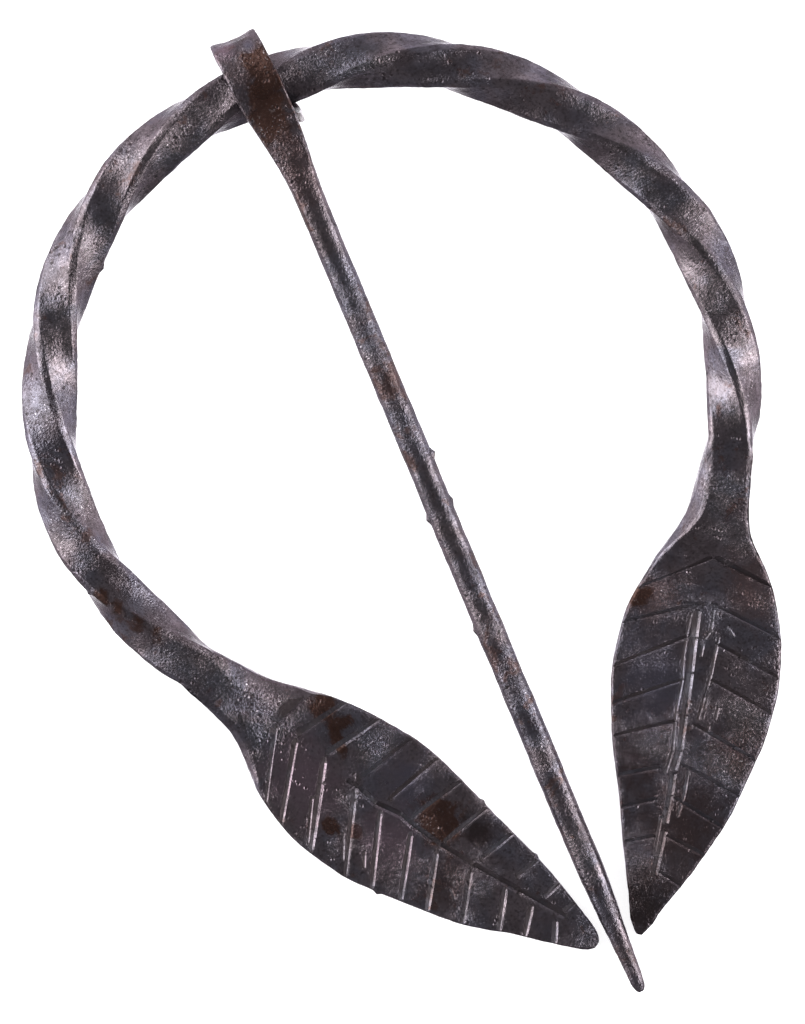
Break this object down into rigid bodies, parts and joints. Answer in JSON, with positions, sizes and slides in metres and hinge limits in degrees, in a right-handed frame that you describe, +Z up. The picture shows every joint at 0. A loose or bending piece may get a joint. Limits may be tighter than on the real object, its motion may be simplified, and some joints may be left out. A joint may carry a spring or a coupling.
{
  "type": "penannular brooch",
  "caption": "Forged penannular brooch: a ring of twisted square bar ending in two veined leaves, with a long pin whose strap head is curled round the bar and swings on it.",
  "frame": {"origin": "under the middle of the box, on the surface that the brooch lies on", "axes": "+Y from the pin point to the pin head, +Z up through the thickness, +X to the right seen from the face"},
  "size_m": [0.0824, 0.1154, 0.01],
  "materials": {
    "ring_iron": "hand-forged iron with a dark waxed oxide skin, hammer marks and brown rust bloom",
    "pin_iron": "hand-forged iron with a dark waxed oxide skin, browner on the strap head"
  },
  "bodies": {
    "ring": {"ring": "ring_iron"},
    "pin": {"pin": "pin_iron"}
  },
  "joints": [
    {"name": "pin_swing", "type": "hinge", "parent": "ring", "child": "pin", "pos_m": [-0.00057, 0.05126, 0.00488], "axis": [-1, 0, 0], "continuous": true}
  ]
}
